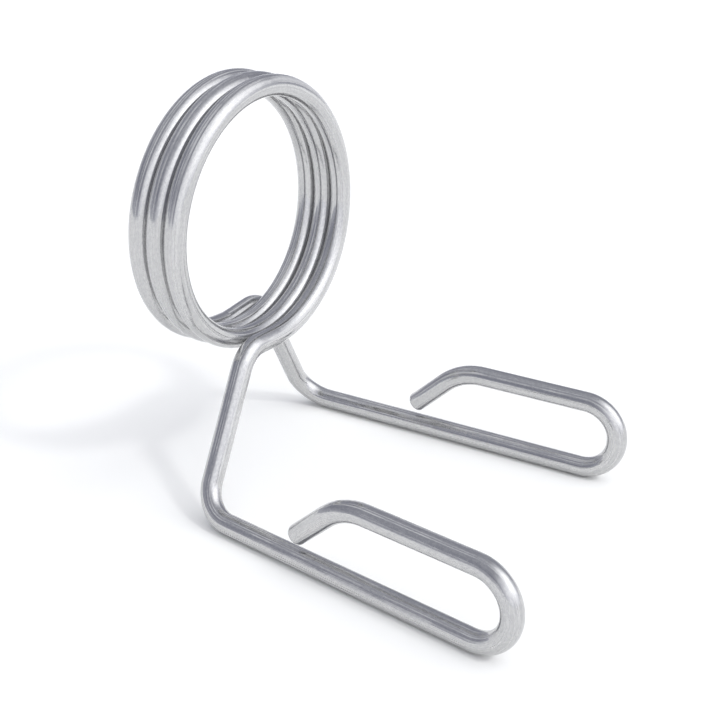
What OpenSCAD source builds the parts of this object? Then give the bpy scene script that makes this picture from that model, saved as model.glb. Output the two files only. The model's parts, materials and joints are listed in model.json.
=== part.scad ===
// Spring clip collar for a weightlifting bar, bent from one length of round spring wire.
// The bore's axis runs along Y and the origin is the middle of the bore. Z is up, and the
// two grips point forward, towards -Y. The front arm stands on the -X side.
// The single wire is drawn as named stretches: coil turns, straight runs and bends.

/* [Coil] */
// Bore of the coil at rest, the bar end that it grips
bore_d = 50; // [28:0.5:52]
// Diameter of the spring wire
wire_d = 4.5; // [3.5:0.05:5.5]
// Gap between one turn and the next
turn_gap = 0.1; // [0.05:0.05:1]
// Depth of the narrow seat that winding on a mandrel leaves along the inside of each turn
seat_depth = 0.1; // [0.05:0.05:0.2]
// Angle by which the front end carries on round the coil, past its lowest point
front_wrap_angle = 2; // [2:1:12]
// Angle by which the rear end carries on round the coil, past its lowest point
rear_wrap_angle = 6; // [2:1:12]

/* [Legs] */
// Distance from the coil's tangent point to the corner of the shoulder bend
lead_len = 9.6; // [8:0.1:14]
// Height of the bore's axis above the centreline of the lower grips
axis_height = 57.2; // [52:0.1:70]
// Distance between the two heels' corners, from side to side
heel_spread = 58.3; // [48:0.1:76]
// How far the front leg steps forward between the coil and its heel, where the rear leg's plane
// stays square to the bore
front_step = 2; // [0:0.1:8]

/* [Grips] */
// Length of the front arm's lower grip, from heel corner to end corner
front_grip_len = 75.8; // [64:0.1:110]
// Length of the rear arm's lower grip, from heel corner to end corner
rear_grip_len = 81.7; // [64:0.1:110]
// Angle by which the front grip splays outward
front_splay_angle = 5.2; // [0:0.1:10]
// Angle by which the rear grip splays outward
rear_splay_angle = 3.5; // [0:0.1:10]
// Height of a grip loop, from centreline to centreline
grip_gap = 15.9; // [13:0.1:22]
// Angle by which both loops' tops lean towards +X
loop_lean_angle = 3; // [-12:0.5:12]
// Length of an upper grip, from end corner to tip corner
upper_grip_len = 38.6; // [30:0.1:48]
// Angle at which the wire's tip turns down
tip_angle = 43.5; // [35:0.5:60]
// Gap between the wire's tip and the lower grip below it
tip_gap = 1; // [0.5:0.1:2]

/* [Bends] */
// Centreline radius of the bend from the coil into the leg
shoulder_r = 7; // [5:0.1:8]
// Centreline radius of the bend from the leg into the lower grip
heel_r = 7.8; // [6:0.1:10]
// Centreline radius of the bend down into the tip
tip_r = 13.8; // [7:0.1:14]
// Radius on the edge of the wire's cut end
end_round = 0.8; // [0.2:0.1:1.4]

/* [Hidden] */
$fn = 96;
wire_r = wire_d / 2;
coil_r = bore_d / 2 + wire_r - seat_depth;
pitch = wire_d + turn_gap;
coil_half_length = 1.5 * pitch;
// The tip's cut end stops tip_gap above the lower grip
tip_drop = grip_gap - wire_r - tip_gap - wire_r * cos(tip_angle);
tip_len = tip_drop / sin(tip_angle);
bright_wire = [0.78, 0.79, 0.81];
up = [0, 0, 1];

function unit(v) = v / norm(v);

// Place along Y where the wire is after so many turns from the coil's front end
function turn_start(turns) = turns * pitch - coil_half_length;

// Corners of an arm's centreline, from the coil's tangent point to the tip.
// side is -1 for the front arm and 1 for the rear arm.
function arm_corners(side, wrap, step, grip_len, splay) =
    let (
        forward = [side * sin(splay), -cos(splay), 0],
        across = [cos(splay), side * sin(splay), 0],
        rise = cos(loop_lean_angle) * up + sin(loop_lean_angle) * across,
        tangent = [side * cos(wrap), 0, sin(wrap)],
        leave = [side * coil_r * sin(wrap), side * coil_half_length, -coil_r * cos(wrap)],
        shoulder = leave + lead_len * tangent,
        heel = [side * heel_spread / 2, side * coil_half_length - step, -axis_height],
        lower_end = heel + grip_len * forward,
        upper_end = lower_end + grip_gap * rise,
        tip_corner = upper_end - upper_grip_len * forward,
        tip_end = tip_corner
            - tip_len * (cos(tip_angle) * forward + sin(tip_angle) * rise)
    )
    [leave, shoulder, heel, lower_end, upper_end, tip_corner, tip_end];

// Places in the list of corners
LEAVE = 0;
SHOULDER = 1;
HEEL = 2;
LOWER_END = 3;
UPPER_END = 4;
TIP = 5;
corner_radius = [0, shoulder_r, heel_r, grip_gap / 2, grip_gap / 2, tip_r, 0];

front = arm_corners(-1, front_wrap_angle, front_step, front_grip_len, front_splay_angle);
rear = arm_corners(1, rear_wrap_angle, 0, rear_grip_len, rear_splay_angle);

function heading(path, i) = unit(path[i + 1] - path[i]);

function turned(path, i) = acos(heading(path, i - 1) * heading(path, i));

// Length of straight wire that a bend takes up on each side of its corner
function set_back(path, i) =
    corner_radius[i] == 0 ? 0 : corner_radius[i] * tan(turned(path, i) / 2);

// Puts what it holds at a point, with its x and y axes along two given directions
module placed(point, x, y) {
    z = cross(x, y);
    multmatrix([
        [x.x, y.x, z.x, point.x],
        [x.y, y.y, z.y, point.y],
        [x.z, y.z, z.z, point.z]
    ]) children();
}

// Wire bent to a radius, from a start point and heading, curving towards a direction
module wire_arc(start, ahead, towards, radius, angle)
    placed(start + radius * towards, -towards, ahead)
        rotate_extrude(angle = angle)
            translate([radius, 0]) circle(d = wire_d);

// Straight wire from a point
module wire_run(start, ahead, length) {
    across = unit(cross(ahead, abs(ahead.z) < 0.9 ? up : [1, 0, 0]));
    placed(start, across, cross(ahead, across)) cylinder(d = wire_d, h = length);
}

// The straight run between corner i and the next
module straight(path, i)
    wire_run(
        path[i] + set_back(path, i) * heading(path, i),
        heading(path, i),
        norm(path[i + 1] - path[i]) - set_back(path, i) - set_back(path, i + 1)
    );

// The bend at corner i
module bend(path, i) {
    ahead = heading(path, i - 1);
    after = heading(path, i);
    wire_arc(
        path[i] - set_back(path, i) * ahead,
        ahead,
        unit(after - (after * ahead) * ahead),
        corner_radius[i],
        turned(path, i)
    );
}

// The bar's space, with its wall at the bore
module bore_space()
    rotate([90, 0, 0])
        cylinder(d = bore_d, h = 2 * coil_half_length + 4 * wire_d, center = true, $fn = 180);

// Half a turn, on the +X side for side 1, where the wire rises, or on the -X side for side -1,
// where it comes down. Each half is a ring tilted to climb half a pitch, so they join in line.
module half_turn(start_y, side) {
    start = [0, start_y, -side * coil_r];
    finish = [0, start_y + pitch / 2, side * coil_r];
    across = finish - start;
    difference() {
        wire_arc(start, [side, 0, 0], unit(across), norm(across) / 2, 180);
        bore_space();
    }
}

// The end of the coil carried past its lowest point, with the same seat as the turns
module coil_end(side, wrap) {
    placed([0, side * coil_half_length, 0], -up, [side, 0, 0])
        rotate_extrude(angle = wrap)
            intersection() {
                translate([coil_r, 0]) circle(d = wire_d);
                translate([bore_d / 2, -wire_d]) square(2 * wire_d);
            }
}

// The half circle that turns a lower grip back into an upper grip
module end_bend(path) {
    ahead = heading(path, HEEL);
    wire_arc(
        path[LOWER_END] - grip_gap / 2 * ahead,
        ahead,
        heading(path, LOWER_END),
        grip_gap / 2,
        180
    );
}

// The last straight run, with the edge of its cut end rounded
module tip(path) {
    ahead = heading(path, TIP);
    across = unit(cross(ahead, up));
    length = tip_len - set_back(path, TIP);
    placed(path[TIP] + set_back(path, TIP) * ahead, across, cross(ahead, across))
        rotate_extrude() {
            square([wire_r, length - end_round]);
            square([wire_r - end_round, length]);
            intersection() {
                translate([wire_r - end_round, length - end_round]) circle(r = end_round);
                translate([wire_r - end_round, length - end_round]) square(end_round);
            }
        }
}

module front_turn_right() color(bright_wire) half_turn(turn_start(0), 1);
module front_turn_left() color(bright_wire) half_turn(turn_start(0.5), -1);
module middle_turn_right() color(bright_wire) half_turn(turn_start(1), 1);
module middle_turn_left() color(bright_wire) half_turn(turn_start(1.5), -1);
module rear_turn_right() color(bright_wire) half_turn(turn_start(2), 1);
module rear_turn_left() color(bright_wire) half_turn(turn_start(2.5), -1);

module front_coil_end() color(bright_wire) coil_end(-1, front_wrap_angle);
module front_lead_out() color(bright_wire) straight(front, LEAVE);
module front_shoulder() color(bright_wire) bend(front, SHOULDER);
module front_leg() color(bright_wire) straight(front, SHOULDER);
module front_heel() color(bright_wire) bend(front, HEEL);
module front_lower_grip() color(bright_wire) straight(front, HEEL);
module front_end_bend() color(bright_wire) end_bend(front);
module front_upper_grip() color(bright_wire) straight(front, UPPER_END);
module front_tip_bend() color(bright_wire) bend(front, TIP);
module front_tip() color(bright_wire) tip(front);

module rear_coil_end() color(bright_wire) coil_end(1, rear_wrap_angle);
module rear_lead_out() color(bright_wire) straight(rear, LEAVE);
module rear_shoulder() color(bright_wire) bend(rear, SHOULDER);
module rear_leg() color(bright_wire) straight(rear, SHOULDER);
module rear_heel() color(bright_wire) bend(rear, HEEL);
module rear_lower_grip() color(bright_wire) straight(rear, HEEL);
module rear_end_bend() color(bright_wire) end_bend(rear);
module rear_upper_grip() color(bright_wire) straight(rear, UPPER_END);
module rear_tip_bend() color(bright_wire) bend(rear, TIP);
module rear_tip() color(bright_wire) tip(rear);

front_turn_right();
front_turn_left();
middle_turn_right();
middle_turn_left();
rear_turn_right();
rear_turn_left();
front_coil_end();
front_lead_out();
front_shoulder();
front_leg();
front_heel();
front_lower_grip();
front_end_bend();
front_upper_grip();
front_tip_bend();
front_tip();
rear_coil_end();
rear_lead_out();
rear_shoulder();
rear_leg();
rear_heel();
rear_lower_grip();
rear_end_bend();
rear_upper_grip();
rear_tip_bend();
rear_tip();
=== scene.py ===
"""Bar-end spring clip: the looks of its one length of plated spring wire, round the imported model."""

import json
import math

import bpy
from bpy.props import FloatProperty, FloatVectorProperty, IntProperty, PointerProperty
from mathutils import Matrix, Quaternion, Vector
from mathutils.kdtree import KDTree


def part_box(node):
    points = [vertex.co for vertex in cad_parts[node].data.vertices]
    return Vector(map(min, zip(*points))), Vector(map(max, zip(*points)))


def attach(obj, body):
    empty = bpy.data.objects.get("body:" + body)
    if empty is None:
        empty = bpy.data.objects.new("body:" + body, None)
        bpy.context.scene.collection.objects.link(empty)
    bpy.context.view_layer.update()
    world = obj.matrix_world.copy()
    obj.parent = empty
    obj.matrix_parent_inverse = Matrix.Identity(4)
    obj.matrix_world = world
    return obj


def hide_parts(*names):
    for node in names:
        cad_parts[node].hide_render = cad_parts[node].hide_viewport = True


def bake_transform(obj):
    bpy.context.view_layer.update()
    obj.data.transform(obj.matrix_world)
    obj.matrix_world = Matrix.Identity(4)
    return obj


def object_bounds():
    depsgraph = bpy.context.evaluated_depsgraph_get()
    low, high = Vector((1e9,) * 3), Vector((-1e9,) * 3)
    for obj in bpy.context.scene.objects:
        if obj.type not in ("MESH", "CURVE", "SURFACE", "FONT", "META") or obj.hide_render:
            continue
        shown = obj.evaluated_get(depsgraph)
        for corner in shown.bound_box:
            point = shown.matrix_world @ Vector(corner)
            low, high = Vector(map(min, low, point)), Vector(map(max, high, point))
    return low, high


bl_info = {
    "name": "Spring Clip Collar",
    "version": (1, 0, 0),
    "blender": (4, 5, 0),
    "location": "3D View > Sidebar > Spring Clip",
    "description": "Models a barbell spring clip bent from one length of plated wire",
    "category": "Add Mesh",
}

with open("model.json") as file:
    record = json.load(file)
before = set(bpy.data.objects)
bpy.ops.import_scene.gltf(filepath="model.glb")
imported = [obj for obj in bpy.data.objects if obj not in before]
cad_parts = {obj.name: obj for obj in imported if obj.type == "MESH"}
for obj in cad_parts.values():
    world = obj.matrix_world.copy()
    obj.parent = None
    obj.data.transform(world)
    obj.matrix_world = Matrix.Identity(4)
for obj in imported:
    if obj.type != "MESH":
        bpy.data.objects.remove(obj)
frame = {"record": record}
CAD_BOX = [list(corner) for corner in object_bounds()]

MM = 0.001
UP = Vector((0, 0, 1))
CLAMP = frame["record"]["mounts"][0]["dims"]
# From the coil's middle to either end of its wire, along the bore: the rear lead-out runs there
COIL_HALF_LENGTH = sum(corner.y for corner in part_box("rear_lead_out")) / 2

# How closely rings stand along the wire: on its straights, round its bends, in each half turn of
# the coil, where an arm leaves the coil, and round the edge of a cut end
RING_SPACING = 4 * MM
DEGREES_PER_RING = 4
LEAST_BEND_RINGS = 8
HALF_TURN_RINGS = 60
WRAP_RINGS = 4
CUT_EDGE_RINGS = 5
# A straight shorter than this is left out, as where the two bends of a loop's end meet
SHORTEST_RUN = 0.01 * MM
# Points nearer than this are one point
MERGE_DISTANCE = 0.0001 * MM
# Faces that meet at less than this are shaded as one curved surface
SMOOTH_ANGLE = math.radians(35)
# The colour sockets of a Mix node, which share their names with others
MIX_A, MIX_B, MIX_RESULT = 6, 7, 2
# How far a piece's box may be off the box of the solids that it stands for
FIT = 0.2 * MM

# The round floor, which reaches far past what the camera sees
FLOOR_RADIUS = 6
FLOOR_SIDES = 96
# The camera's place, the direction from its aim back to it, and its roll, in degrees
CAMERA_PLACE = (-0.20053, -0.15964, 0.08545)
CAMERA_AZIMUTH = -57.05
CAMERA_ELEVATION = 25.37
CAMERA_ROLL = 0.39
# Its lens and its frame's width in millimetres, and the nearest and farthest that it sees
LENS = 62.18
FRAME_WIDTH = 36
NEAREST_SEEN = 0.01
FARTHEST_SEEN = 20

# Which side of the bore each arm stands on, along X
SIDES = {"front": -1, "rear": 1}
HALF_TURNS = {
    "front": ["front_turn_right", "front_turn_left", "middle_turn_right"],
    "rear": ["middle_turn_left", "rear_turn_right", "rear_turn_left"],
}
ARM_STRETCHES = [
    "coil_end", "lead_out", "shoulder", "leg", "heel",
    "lower_grip", "end_bend", "upper_grip", "tip_bend", "tip",
]


def hex_colour(code):
    """An sRGB hex value as linear red, green, blue and alpha."""
    parts = [int(code[i:i + 2], 16) / 255 for i in (1, 3, 5)]
    return tuple(p / 12.92 if p <= 0.04045 else ((p + 0.055) / 1.055) ** 2.4 for p in parts) + (1,)


def length_property(name, description, millimetres):
    """A length that a user can set, with its default in millimetres."""
    return FloatProperty(
        name=name, description=description, default=millimetres * MM, min=0, unit="LENGTH",
        precision=5,
    )


def angle_property(name, description, degrees):
    """An angle that a user can set, with its default in degrees."""
    return FloatProperty(
        name=name, description=description, default=math.radians(degrees), unit="ROTATION",
    )


def colour_property(name, description, code):
    """A colour that a user can set, with its default as an sRGB hex value."""
    return FloatVectorProperty(
        name=name, description=description, default=hex_colour(code), size=4, subtype="COLOR",
        min=0, max=1,
    )


class WireSizes(bpy.types.PropertyGroup):
    """What both ends of the wire share."""

    bore_diameter: length_property("Bore", "Bore of the coil at rest", 2 * CLAMP["r_mm"])
    wire_diameter: length_property("Wire", "Diameter of the spring wire", 4.5)
    seat_depth: length_property("Seat", "How far the bore cuts into the turns", 0.1)
    lead_length: length_property(
        "Lead", "From the coil's tangent point to the shoulder's corner", 9.6)
    axis_height: length_property(
        "Axis height", "Bore's axis above the centreline of the lower grips", 57.2)
    heel_spread: length_property(
        "Heel spread", "Between the two heels' corners, from side to side", 58.3)
    grip_gap: length_property("Grip gap", "Height of a loop, between centrelines", 15.9)
    loop_lean: angle_property("Loop lean", "How far the loops' tops lean towards +X", 3)
    upper_grip_length: length_property(
        "Upper grip", "From the end corner to the tip's corner", 38.6)
    tip_angle: angle_property("Tip angle", "How steeply the wire's tip turns down", 43.5)
    tip_gap: length_property("Tip gap", "Between the tip and the lower grip", 1)
    shoulder_radius: length_property("Shoulder", "Radius of the bend into the leg", 7)
    heel_radius: length_property("Heel", "Radius of the bend into the lower grip", 7.8)
    tip_radius: length_property("Tip bend", "Radius of the bend down into the tip", 13.8)
    end_round: length_property("End round", "Radius on the edge of the cut end", 0.8)
    sides: IntProperty(
        name="Sides", description="Faces round the wire", default=64, min=12, max=128)


class FrontArmSizes(bpy.types.PropertyGroup):
    """The arm that leaves the coil's front end and stands on the -X side."""

    wrap: angle_property("Wrap", "How far the end carries on round the coil", 2)
    step: length_property("Step", "How far the leg steps forward", 2)
    grip_length: length_property("Lower grip", "From heel corner to end corner", 75.8)
    splay: angle_property("Splay", "How far the grip splays outward", 5.2)


class RearArmSizes(bpy.types.PropertyGroup):
    """The arm that leaves the coil's rear end and stands on the +X side."""

    wrap: angle_property("Wrap", "How far the end carries on round the coil", 6)
    step: length_property("Step", "How far the leg steps forward", 0)
    grip_length: length_property("Lower grip", "From heel corner to end corner", 81.7)
    splay: angle_property("Splay", "How far the grip splays outward", 3.5)


class FinishColours(bpy.types.PropertyGroup):
    """Colours of the plating and of the studio."""

    zinc: colour_property("Zinc", "Bright plating", "#CBCBCA")
    zinc_dull: colour_property(
        "Dull zinc", "Plating between the drawing lines and in its grain", "#BBBBBC")
    pit: colour_property("Pits", "Tiny pits in the plating", "#77797F")
    floor: colour_property("Floor", "Studio floor", "#FAFAF7")
    skirting: colour_property("Skirting", "Foot of the room's walls, lit by the floor", "#CBCDD7")
    room: colour_property("Room", "Walls of the room round the floor", "#9FA1AE")
    ceiling: colour_property("Ceiling", "Ceiling of the room", "#BDBFC8")


class SpringClip(bpy.types.PropertyGroup):
    """All that a user can set."""

    wire: PointerProperty(type=WireSizes, name="Wire")
    front: PointerProperty(type=FrontArmSizes, name="Front arm")
    rear: PointerProperty(type=RearArmSizes, name="Rear arm")
    colours: PointerProperty(type=FinishColours, name="Colours")


def coil_radius(wire):
    """Radius of the coil's centreline."""
    return (wire.bore_diameter + wire.wire_diameter) / 2 - wire.seat_depth


class GrownWire:
    """Round wire grown from its first ring by extruding straight and spinning round bends.

    It keeps each ring's centre, its two directions across the wire and its place along it.
    """

    def __init__(self, name, wire, centre, ahead, start=0, reverse=False):
        self.radius = wire.wire_diameter / 2
        self.centre, self.ahead, self.across = Vector(centre), ahead.normalized(), Vector((0, 1, 0))
        self.along, self.sense = start, -1 if reverse else 1
        self.rings = []
        bpy.ops.object.select_all(action="DESELECT")
        lie = Matrix((self.across, self.ahead.cross(self.across), self.ahead)).transposed()
        bpy.ops.mesh.primitive_circle_add(
            vertices=wire.sides, radius=self.radius, location=self.centre,
            rotation=lie.to_euler(),
        )
        self.piece = bpy.context.object
        self.piece.name = self.piece.data.name = name
        bpy.ops.object.transform_apply(location=True, rotation=True, scale=True)
        bpy.ops.object.mode_set(mode="EDIT")
        bpy.ops.mesh.select_mode(type="EDGE")
        bpy.ops.mesh.select_all(action="SELECT")
        self.note_ring()

    def note_ring(self):
        """Keeps the place and directions of the ring just made."""
        self.rings.append((
            self.centre.copy(), self.across.copy(),
            self.sense * self.ahead.cross(self.across), self.along,
        ))

    def run(self, length, count):
        """Straight on, with so many rings."""
        move = self.ahead * (length / count)
        for _ in range(count):
            bpy.ops.mesh.extrude_region_move(TRANSFORM_OT_translate={"value": move})
            self.centre += move
            self.along += self.sense * move.length
            self.note_ring()

    def bend(self, towards, radius, angle, count):
        """Round a bend whose centre lies in the direction given."""
        pivot = self.centre + radius * towards
        axis = self.ahead.cross(towards).normalized()
        bpy.ops.mesh.spin(steps=count, angle=-angle, center=pivot, axis=axis)
        turn = Quaternion(axis, angle / count)
        for _ in range(count):
            self.centre = pivot + turn @ (self.centre - pivot)
            self.ahead = turn @ self.ahead
            self.across = turn @ self.across
            self.along += self.sense * radius * angle / count
            self.note_ring()

    def round_off(self, edge, count):
        """Rounds the edge of the cut end."""
        radius = self.radius
        for i in range(1, count + 1):
            angle = math.pi / 2 * i / count
            before = math.pi / 2 * (i - 1) / count
            move = self.ahead * edge * (math.sin(angle) - math.sin(before))
            new_radius = self.radius - edge * (1 - math.cos(angle))
            bpy.ops.mesh.extrude_region_move(TRANSFORM_OT_translate={"value": move})
            self.centre += move
            self.along += self.sense * move.length
            bpy.ops.transform.resize(
                value=(new_radius / radius,) * 3, center_override=self.centre)
            radius = new_radius
            self.note_ring()

    def finish(self):
        """Closes the ends and writes at each point its place on the wire before it was bent.

        That is the attribute "drawn": two directions across the wire, and the way along it.
        """
        bpy.ops.mesh.select_all(action="SELECT")
        bpy.ops.mesh.remove_doubles(threshold=MERGE_DISTANCE)
        bpy.ops.mesh.fill_holes(sides=0)
        bpy.ops.mesh.select_all(action="SELECT")
        bpy.ops.mesh.normals_make_consistent(inside=False)
        bpy.ops.object.mode_set(mode="OBJECT")
        bpy.ops.object.shade_smooth_by_angle(angle=SMOOTH_ANGLE)
        tree = KDTree(len(self.rings))
        for i, (centre, *_) in enumerate(self.rings):
            tree.insert(centre, i)
        tree.balance()
        drawn = self.piece.data.attributes.new("drawn", "FLOAT_VECTOR", "POINT")
        for vertex, value in zip(self.piece.data.vertices, drawn.data):
            centre, across, other, along = self.rings[tree.find(vertex.co)[1]]
            spoke = vertex.co - centre
            value.vector = (spoke.dot(across), spoke.dot(other), along)
        return self.piece


def corners_of(wire, arm, side):
    """Corners of an arm's centreline, from the coil's tangent point to the tip's end."""
    radius = coil_radius(wire)
    forward = Vector((side * math.sin(arm.splay), -math.cos(arm.splay), 0))
    across = Vector((math.cos(arm.splay), side * math.sin(arm.splay), 0))
    rise = math.cos(wire.loop_lean) * UP + math.sin(wire.loop_lean) * across
    tangent = Vector((side * math.cos(arm.wrap), 0, math.sin(arm.wrap)))
    leave = Vector((
        side * radius * math.sin(arm.wrap), side * COIL_HALF_LENGTH,
        -radius * math.cos(arm.wrap),
    ))
    shoulder = leave + wire.lead_length * tangent
    heel = Vector((
        side * wire.heel_spread / 2, side * COIL_HALF_LENGTH - arm.step, -wire.axis_height,
    ))
    lower_end = heel + arm.grip_length * forward
    upper_end = lower_end + wire.grip_gap * rise
    tip_corner = upper_end - wire.upper_grip_length * forward
    wire_radius = wire.wire_diameter / 2
    drop = wire.grip_gap - wire_radius - wire.tip_gap - wire_radius * math.cos(wire.tip_angle)
    tip_end = tip_corner - drop / math.sin(wire.tip_angle) * (
        math.cos(wire.tip_angle) * forward + math.sin(wire.tip_angle) * rise)
    return [leave, shoulder, heel, lower_end, upper_end, tip_corner, tip_end]


def grow_arm(name, wire, arm, side, start):
    """The wire from the coil's end to the tip of one grip."""
    radius = coil_radius(wire)
    grown = GrownWire(
        name, wire, (0, side * COIL_HALF_LENGTH, -radius), Vector((side, 0, 0)),
        start, reverse=side < 0,
    )
    grown.bend(UP, radius, arm.wrap, WRAP_RINGS)
    corners = corners_of(wire, arm, side)
    half_gap = wire.grip_gap / 2
    radii = [0, wire.shoulder_radius, wire.heel_radius, half_gap, half_gap, wire.tip_radius, 0]
    headings = [(b - a).normalized() for a, b in zip(corners, corners[1:])]
    turned = [0] + [a.angle(b) for a, b in zip(headings, headings[1:])] + [0]
    set_back = [r * math.tan(t / 2) for r, t in zip(radii, turned)]
    for i, heading in enumerate(headings):
        length = (corners[i + 1] - corners[i]).length - set_back[i] - set_back[i + 1]
        last = i == len(headings) - 1
        if last:
            length -= wire.end_round
        if length > SHORTEST_RUN:
            grown.run(length, max(2, round(length / RING_SPACING)))
        if not last:
            after = headings[i + 1]
            towards = (after - after.dot(heading) * heading).normalized()
            count = max(LEAST_BEND_RINGS, round(math.degrees(turned[i + 1]) / DEGREES_PER_RING))
            grown.bend(towards, radii[i + 1], turned[i + 1], count)
    grown.round_off(wire.end_round, CUT_EDGE_RINGS)
    return grown.finish()


def grow_coil_half(name, wire, front, start):
    """One and a half turns, between the coil's middle and its front or rear end.

    Each half turn is a half ring tilted to climb half a pitch, so they join in line.
    """
    radius, climb = coil_radius(wire), COIL_HALF_LENGTH / 3
    place = Vector((0, -COIL_HALF_LENGTH, -radius)) if front else Vector((0, 0, radius))
    grown = GrownWire(name, wire, place, Vector((1 if front else -1, 0, 0)), start)
    for _ in range(3):
        finish = Vector((0, grown.centre.y + climb, -grown.centre.z))
        chord = finish - grown.centre
        grown.bend(chord.normalized(), chord.length / 2, math.pi, HALF_TURN_RINGS)
    return grown.finish()


def half_coil_length(wire):
    """Length of the wire in one and a half turns."""
    chord = Vector((0, COIL_HALF_LENGTH / 3, 2 * coil_radius(wire))).length
    return 1.5 * math.pi * chord


def check_fit(piece, nodes):
    """Stops if a piece isn't where the solids that it stands for are."""
    boxes = [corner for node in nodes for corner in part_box(node)]
    points = [vertex.co for vertex in piece.data.vertices]
    for axis in range(3):
        for pick in (min, max):
            off = pick(p[axis] for p in points) - pick(c[axis] for c in boxes)
            if abs(off) > FIT:
                raise RuntimeError(f"{piece.name} is {off / MM:.2f} mm off its solids on axis {axis}")


def add_node(tree, kind, inputs, **properties):
    """Adds a node, sets its properties, and sets or links its sockets by name or number."""
    node = tree.nodes.new(kind)
    for name, value in properties.items():
        setattr(node, name, value)
    for socket, value in inputs.items():
        if isinstance(value, bpy.types.NodeSocket):
            tree.links.new(value, node.inputs[socket])
        else:
            node.inputs[socket].default_value = value
    return node


def plated_wire():
    """Drawn spring steel wire under bright zinc plating.

    The plating is a blurred mirror. The die's lines and streaks run along the wire, so they cut
    its reflections into fine bands, and its grain mottles them.
    """
    name = "bright_zinc_plated_drawn_spring_wire"
    if name in bpy.data.materials:
        return bpy.data.materials[name]
    colours = bpy.context.scene.spring_clip.colours
    material = bpy.data.materials.new(name)
    material.use_nodes = True
    tree = material.node_tree
    tree.nodes.clear()
    place = add_node(tree, "ShaderNodeAttribute", {}, attribute_name="drawn").outputs["Vector"]

    def marks(width, length, detail):
        """Noise along the straight wire, with the width and length of one mark in metres."""
        counted = add_node(
            tree, "ShaderNodeVectorMath", {0: place, 1: (1 / width, 1 / width, 1 / length)},
            operation="MULTIPLY",
        )
        return add_node(
            tree, "ShaderNodeTexNoise",
            {"Vector": counted.outputs[0], "Scale": 1, "Detail": detail, "Roughness": 0.6},
        ).outputs["Fac"]

    # Lines that the die left. The real ones are some hundredths of a millimetre wide, and are
    # drawn 0.4 mm wide, as coarse as they need to show. Each runs for some centimetres.
    fine_lines = marks(0.4 * MM, 150 * MM, 2)
    # Streaks 0.5 to 1 mm wide, where the die rubbed harder
    streaks = marks(1.6 * MM, 150 * MM, 2)
    # Plating that took unevenly, in patches of a few millimetres
    patches = marks(2.5 * MM, 9 * MM, 3)
    # The plating's grain, some hundredths of a millimetre across on a real wire. It is drawn at
    # half a millimetre, where it shows as a mottle on the light faces.
    grain = marks(0.45 * MM, 0.7 * MM, 2)
    # Pits a quarter of a millimetre across, a few to the centimetre
    pits = marks(0.3 * MM, 0.4 * MM, 1)

    # Each use of a mark: its noise, where on it the mark starts and is full, and the strength
    # before and after
    uses = {
        "film_on_streaks": (streaks, 0.55, 0.62, 0, 0.5),
        "film_on_lines": (fine_lines, 0.46, 0.59, 0, 0.85),
        "film_kept": (patches, 0.35, 0.65, 0.4, 1),
        "dull_in_grain": (grain, 0.4, 0.6, 0, 0.6),
        "dull_between_lines": (fine_lines, 0.42, 0.58, 0.5, 0),
        "dark_in_pits": (pits, 0.76, 0.82, 0, 1),
        "depth_of_pits": (pits, 0.74, 0.82, 0, -0.5),
        "blur_in_patches": (patches, 0.35, 0.65, 0.08, 0.14),
        "blur_in_grain": (grain, 0.4, 0.7, 0, 0.04),
    }
    strength = {
        use: add_node(
            tree, "ShaderNodeMapRange",
            {"Value": noise, "From Min": start, "From Max": full, "To Min": before,
             "To Max": after},
            interpolation_type="SMOOTHSTEP",
        ).outputs["Result"]
        for use, (noise, start, full, before, after) in uses.items()
    }

    # A film of white zinc oxide lies in the lines and streaks. It scatters light, so it stands
    # out pale where the wire mirrors the dark room, and is lost where it mirrors the floor.
    film_laid = add_node(
        tree, "ShaderNodeMath",
        {0: strength["film_on_streaks"], 1: strength["film_on_lines"]}, operation="ADD",
    ).outputs[0]
    film = add_node(
        tree, "ShaderNodeMath", {0: film_laid, 1: strength["film_kept"]}, operation="MULTIPLY",
    ).outputs[0]
    bare_metal = add_node(
        tree, "ShaderNodeMapRange",
        {"Value": film, "From Min": 0, "From Max": 1, "To Min": 1, "To Max": 0.4},
        interpolation_type="SMOOTHSTEP",
    ).outputs["Result"]
    blur_in_film = add_node(
        tree, "ShaderNodeMapRange",
        {"Value": film, "From Min": 0, "From Max": 1, "To Min": 0, "To Max": 0.1},
        interpolation_type="SMOOTHSTEP",
    ).outputs["Result"]

    # Zinc is a plain light grey, a little darker in its grain and between the lines, and dark
    # grey in a pit. The cool tint of its dark bands comes from the room that it mirrors.
    dull = add_node(
        tree, "ShaderNodeMath",
        {0: strength["dull_in_grain"], 1: strength["dull_between_lines"]}, operation="ADD",
    ).outputs[0]
    plating = add_node(
        tree, "ShaderNodeMix",
        {"Factor": dull, MIX_A: tuple(colours.zinc), MIX_B: tuple(colours.zinc_dull)},
        data_type="RGBA",
    ).outputs[MIX_RESULT]
    pitted = add_node(
        tree, "ShaderNodeMix",
        {"Factor": strength["dark_in_pits"], MIX_A: plating, MIX_B: tuple(colours.pit)},
        data_type="RGBA",
    ).outputs[MIX_RESULT]

    # Bright plating blurs what it mirrors only a little, and more where it took unevenly, in its
    # grain and under the film
    blur = add_node(
        tree, "ShaderNodeMath",
        {0: strength["blur_in_patches"], 1: strength["blur_in_grain"]}, operation="ADD",
    ).outputs[0]
    roughness = add_node(
        tree, "ShaderNodeMath", {0: blur, 1: blur_in_film}, operation="ADD").outputs[0]

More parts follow.
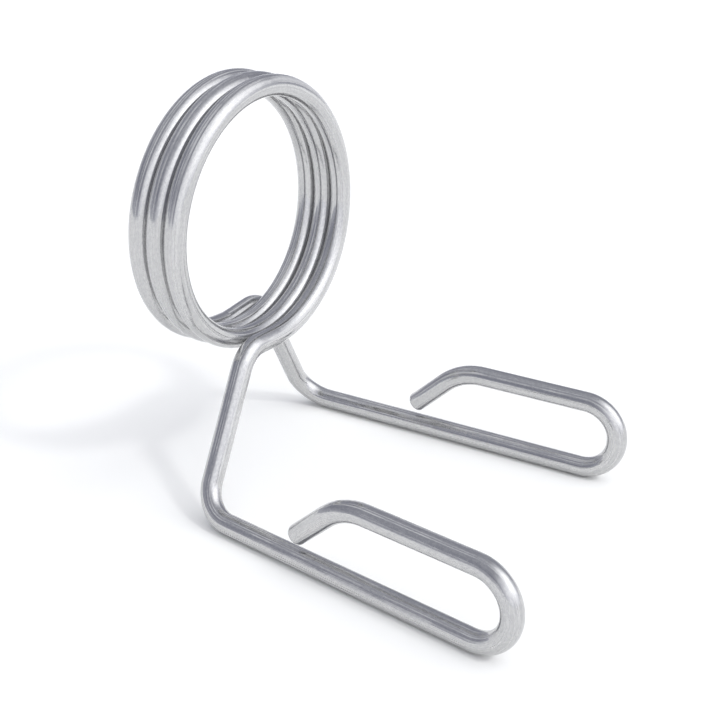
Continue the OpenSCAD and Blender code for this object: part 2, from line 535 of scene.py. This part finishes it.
    # The lines stand about a hundredth of a millimetre proud and the pits go down, which frays the
    # edges of the reflections
    height = add_node(
        tree, "ShaderNodeMath", {0: fine_lines, 1: strength["depth_of_pits"]}, operation="ADD",
    ).outputs[0]
    relief = add_node(
        tree, "ShaderNodeBump", {"Height": height, "Strength": 1, "Distance": 0.015 * MM})
    shader = add_node(
        tree, "ShaderNodeBsdfPrincipled",
        {"Base Color": pitted, "Metallic": bare_metal, "Roughness": roughness,
         "Normal": relief.outputs["Normal"]},
    )
    add_node(tree, "ShaderNodeOutputMaterial", {"Surface": shader.outputs[0]})
    return material


def dress(piece, nodes):
    """Gives a piece its finish and puts it in place of its solids."""
    check_fit(piece, nodes)
    piece.data.materials.clear()
    piece.data.materials.append(plated_wire())
    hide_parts(*nodes)


class SPRINGCLIP_OT_coil(bpy.types.Operator):
    """Wind the coil's three turns, as two halves from its middle to either end"""

    bl_idname = "springclip.coil"
    bl_label = "Coil"

    def execute(self, context):
        wire = context.scene.spring_clip.wire
        half = half_coil_length(wire)
        # The place along the wire counts from the coil's middle, towards either end
        for end, start in (("front", -half), ("rear", 0)):
            piece = grow_coil_half(end + "_coil_turns", wire, end == "front", start)
            dress(piece, HALF_TURNS[end])
            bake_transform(piece)
        return {"FINISHED"}


class SPRINGCLIP_OT_arms(bpy.types.Operator):
    """Bend both arms, from the coil's ends to the tips of the grip loops"""

    bl_idname = "springclip.arms"
    bl_label = "Arms"

    def execute(self, context):
        clip = context.scene.spring_clip
        half = half_coil_length(clip.wire)
        for end, arm, start in (("front", clip.front, -half), ("rear", clip.rear, half)):
            piece = grow_arm(end + "_arm_wire", clip.wire, arm, SIDES[end], start)
            dress(piece, [f"{end}_{stretch}" for stretch in ARM_STRETCHES])
            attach(piece, end + "_arm")
        return {"FINISHED"}


class SPRINGCLIP_OT_stage(bpy.types.Operator):
    """Set up the pale floor, the soft lamps, the room and the camera"""

    bl_idname = "springclip.stage"
    bl_label = "Stage"

    def execute(self, context):
        colours = context.scene.spring_clip.colours
        lay_floor(colours)
        light_room(colours)
        # The key lamp casts the ring's soft shadow behind it. The overhead lamp is as wide as a
        # ceiling panel, and leaves a dark line only where the wire meets the floor.
        hang_lamp("key_lamp", azimuth=-2, elevation=46, spread=7, strength=0.52)
        hang_lamp("overhead_lamp", azimuth=0, elevation=90, spread=80, strength=0.78)
        place_camera(context.scene)
        context.scene.view_settings.view_transform = "Standard"
        return {"FINISHED"}


def lay_floor(colours):
    """A wide floor of matt white paper that the clip stands on, all one plain tone."""
    bpy.ops.object.select_all(action="DESELECT")
    bpy.ops.mesh.primitive_circle_add(
        vertices=FLOOR_SIDES, radius=FLOOR_RADIUS, fill_type="NGON",
        location=(0, 0, CAD_BOX[0][2]),
    )
    floor = bpy.context.object
    floor.name = "studio_floor"
    bpy.ops.object.transform_apply(location=True, rotation=True, scale=True)
    material = bpy.data.materials.new("matt_white_paper_floor")
    material.use_nodes = True
    tree = material.node_tree
    tree.nodes.clear()
    paper = add_node(tree, "ShaderNodeBsdfDiffuse", {"Color": tuple(colours.floor)})
    add_node(tree, "ShaderNodeOutputMaterial", {"Surface": paper.outputs[0]})
    floor.data.materials.append(material)


def direction_of(azimuth, elevation):
    """From the clip towards a place round it, with azimuth 0 in front at -Y."""
    a, e = math.radians(azimuth), math.radians(elevation)
    return Vector((math.sin(a) * math.cos(e), -math.cos(a) * math.cos(e), math.sin(e)))


def light_room(colours):
    """A plain grey room, with a wide soft glow high in front and a smaller one at the left."""
    world = bpy.data.worlds.new("studio_room")
    bpy.context.scene.world = world
    world.use_nodes = True
    tree = world.node_tree
    tree.nodes.clear()
    direction = add_node(tree, "ShaderNodeTexCoord", {}).outputs["Generated"]

    def glow(azimuth, elevation, reach, strength):
        """A soft round glow, so many degrees from its middle to its edge."""
        facing = add_node(
            tree, "ShaderNodeVectorMath", {0: direction, 1: direction_of(azimuth, elevation)},
            operation="DOT_PRODUCT",
        ).outputs["Value"]
        rise = add_node(
            tree, "ShaderNodeMapRange",
            {"Value": facing, "From Min": math.cos(math.radians(reach)), "From Max": 1,
             "To Max": math.sqrt(strength)},
        ).outputs["Result"]
        return add_node(
            tree, "ShaderNodeMath", {0: rise, 1: rise}, operation="MULTIPLY").outputs[0]

    high = glow(azimuth=14, elevation=36, reach=56, strength=1.9)
    left = glow(azimuth=-47, elevation=19, reach=44, strength=0.95)
    glows = add_node(tree, "ShaderNodeMath", {0: high, 1: left}, operation="ADD").outputs[0]
    # The walls go from their foot, which the floor lights, to their own tone three tenths of the
    # way up, and on to the ceiling
    height = add_node(tree, "ShaderNodeSeparateXYZ", {0: direction}).outputs["Z"]
    shade = add_node(tree, "ShaderNodeValToRGB", {"Fac": height})
    stops = shade.color_ramp.elements
    stops[0].position, stops[0].color = 0, tuple(colours.skirting)
    stops[1].position, stops[1].color = 1, tuple(colours.ceiling)
    stops.new(0.3).color = tuple(colours.room)
    walls = add_node(tree, "ShaderNodeBackground", {"Color": shade.outputs[0], "Strength": 1})
    lamps = add_node(tree, "ShaderNodeBackground", {"Color": (1, 1, 1, 1), "Strength": glows})
    both = add_node(tree, "ShaderNodeAddShader", {0: walls.outputs[0], 1: lamps.outputs[0]})
    add_node(tree, "ShaderNodeOutputWorld", {"Surface": both.outputs[0]})


def hang_lamp(name, azimuth, elevation, spread, strength):
    """A distant soft lamp, which looks so many degrees wide from the clip."""
    data = bpy.data.lights.new(name, "SUN")
    data.angle, data.energy = math.radians(spread), strength
    lamp = bpy.data.objects.new(name, data)
    bpy.context.scene.collection.objects.link(lamp)
    lamp.location = direction_of(azimuth, elevation)
    lamp.rotation_mode = "QUATERNION"
    lamp.rotation_quaternion = (-lamp.location).to_track_quat("-Z", "Y")
    # The wire mirrors the room and its glows, and the lamp only lights it and the floor
    lamp.visible_glossy = False


def place_camera(scene):
    """A short telephoto view from the front left, looking down a little."""
    data = bpy.data.cameras.new("camera")
    data.lens, data.sensor_width = LENS, FRAME_WIDTH
    data.clip_start, data.clip_end = NEAREST_SEEN, FARTHEST_SEEN
    camera = bpy.data.objects.new("camera", data)
    scene.collection.objects.link(camera)
    camera.location = CAMERA_PLACE
    back = direction_of(CAMERA_AZIMUTH, CAMERA_ELEVATION)
    camera.rotation_mode = "QUATERNION"
    roll = Quaternion((0, 0, 1), math.radians(CAMERA_ROLL))
    camera.rotation_quaternion = (-back).to_track_quat("-Z", "Y") @ roll
    scene.camera = camera


class SPRINGCLIP_PT_panel(bpy.types.Panel):
    """Lists the clip's operators, sizes and colours"""

    bl_idname = "SPRINGCLIP_PT_panel"
    bl_label = "Spring Clip"
    bl_space_type = "VIEW_3D"
    bl_region_type = "UI"
    bl_category = "Spring Clip"

    def draw(self, context):
        clip = context.scene.spring_clip
        for operator in OPERATORS:
            self.layout.operator(operator.bl_idname)
        for group in (clip.wire, clip.front, clip.rear, clip.colours):
            box = self.layout.box()
            for name in group.__annotations__:
                box.prop(group, name)


OPERATORS = (SPRINGCLIP_OT_coil, SPRINGCLIP_OT_arms, SPRINGCLIP_OT_stage)
SETTINGS = (WireSizes, FrontArmSizes, RearArmSizes, FinishColours, SpringClip)
CLASSES = SETTINGS + OPERATORS + (SPRINGCLIP_PT_panel,)


def register():
    """Adds the clip's settings, operators and panel."""
    for cls in CLASSES:
        bpy.utils.register_class(cls)
    bpy.types.Scene.spring_clip = PointerProperty(type=SpringClip)


def unregister():
    """Takes them away again."""
    del bpy.types.Scene.spring_clip
    for cls in reversed(CLASSES):
        bpy.utils.unregister_class(cls)


def main():
    """Models the clip and its stage."""
    register()
    bpy.ops.springclip.coil()
    bpy.ops.springclip.arms()
    bpy.ops.springclip.stage()


if __name__ == "__main__":
    main()
